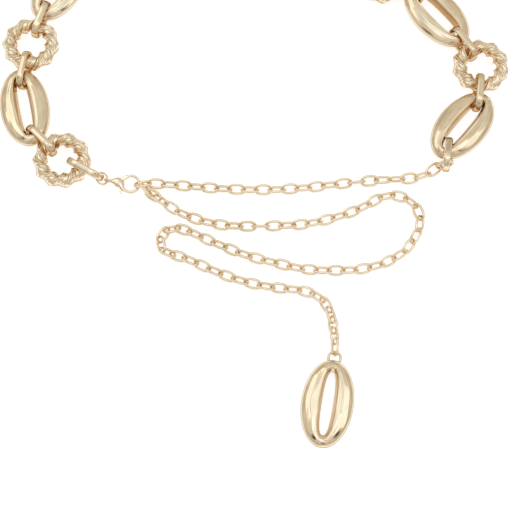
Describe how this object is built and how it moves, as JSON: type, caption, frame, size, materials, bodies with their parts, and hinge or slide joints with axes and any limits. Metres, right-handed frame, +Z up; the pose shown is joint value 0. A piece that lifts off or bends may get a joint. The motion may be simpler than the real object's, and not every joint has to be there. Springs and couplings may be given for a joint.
{
  "type": "waist chain",
  "caption": "Gold-tone waist chain laid flat: twisted rings and puffed oval links on flat wire connectors, a lobster clasp hooked into a cable chain, and an oval drop on its free tail.",
  "frame": {"origin": "middle of the laid chain's outline, on the surface that it lies on", "axes": "+X along the long side of the waist loop, from the clasp towards the chain's other end, +Y from the drop towards the strand of rings and ovals, +Z up from the surface"},
  "size_m": [0.2596, 0.2758, 0.0167],
  "materials": {
    "cast_gold": "polished pale gold plate",
    "connector_gold": "polished pale gold plate",
    "chain_gold": "polished pale gold plate",
    "clasp_gold": "polished pale gold plate"
  },
  "bodies": {
    "chain": {"twist_ring_1": "cast_gold", "twist_ring_2": "cast_gold", "twist_ring_3": "cast_gold", "twist_ring_4": "cast_gold", "twist_ring_5": "cast_gold", "twist_ring_6": "cast_gold", "oval_link_1": "cast_gold", "oval_link_2": "cast_gold", "oval_link_3": "cast_gold", "oval_link_4": "cast_gold", "oval_link_5": "cast_gold", "oval_link_6": "cast_gold", "connector_1": "connector_gold", "connector_2": "connector_gold", "connector_3": "connector_gold", "connector_4": "connector_gold", "connector_5": "connector_gold", "connector_6": "connector_gold", "connector_7": "connector_gold", "connector_8": "connector_gold", "connector_9": "connector_gold", "connector_10": "connector_gold", "connector_11": "connector_gold", "end_connector": "connector_gold", "clasp_connector": "connector_gold", "jump_ring": "chain_gold", "clasp_body": "clasp_gold", "front_chain": "chain_gold", "tail_chain": "chain_gold", "pendant_oval": "cast_gold"},
    "lever": {"clasp_lever": "clasp_gold"}
  },
  "joints": [
    {"name": "lever_hinge", "type": "hinge", "parent": "chain", "child": "lever", "pos_m": [-0.06794, -0.00492, 0.002], "axis": [0, 0, -1], "range_deg": [0, 25], "stiffness_Nm_per_rad": 0.0005}
  ]
}
